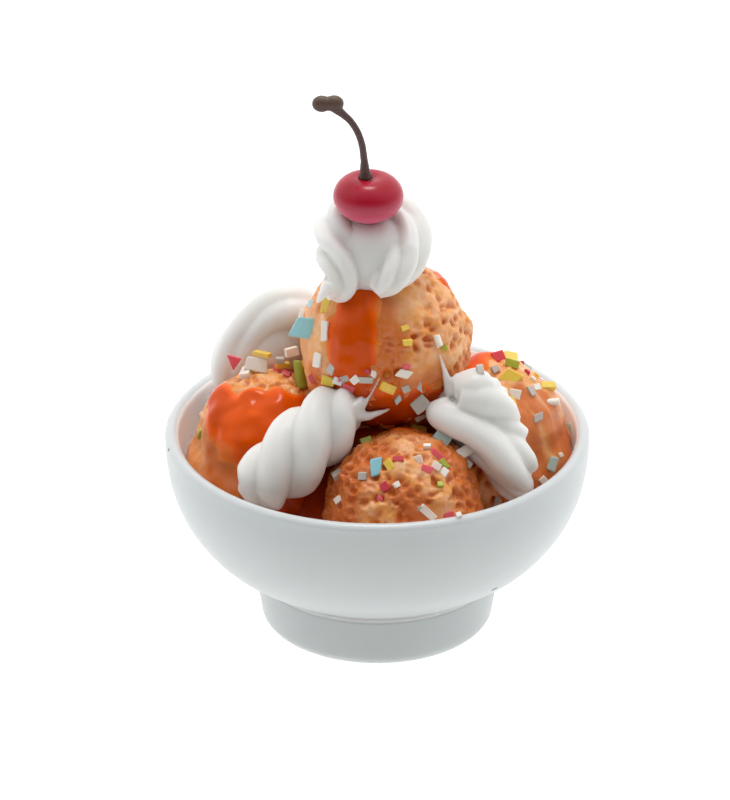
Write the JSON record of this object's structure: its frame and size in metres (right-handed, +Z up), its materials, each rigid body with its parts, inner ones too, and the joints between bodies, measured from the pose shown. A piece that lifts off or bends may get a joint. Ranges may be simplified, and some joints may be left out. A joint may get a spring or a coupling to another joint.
{
  "type": "miniature ice cream sundae",
  "caption": "Doll's house miniature of an ice cream sundae: scoops, orange sauce, piped cream, cut sprinkles and a cherry on a stem in a white footed bowl.",
  "frame": {"origin": "middle of the flat underside of the bowl's foot, on the surface that it stands on", "axes": "+Z up through the middle of the bowl, -Y towards the front that the picture shows, +X to the right as seen from there"},
  "size_m": [0.0252, 0.0252, 0.0342],
  "materials": {
    "bowl_white": "satin",
    "scoop_clay": "matte",
    "sauce_resin": "gloss",
    "cream_white": "satin",
    "cherry_red": "gloss",
    "stem_brown": "satin"
  },
  "bodies": {
    "root": {"bowl": "bowl_white", "sauce_pool": "sauce_resin", "scoop_top": "scoop_clay", "scoop_left": "scoop_clay", "scoop_front": "scoop_clay", "scoop_right": "scoop_clay", "scoop_back": "scoop_clay", "cream_top": "cream_white", "cream_front_left": "cream_white", "cream_right": "cream_white", "cream_back_left": "cream_white", "cherry": "cherry_red", "cherry_stem": "stem_brown"}
  },
  "joints": []
}
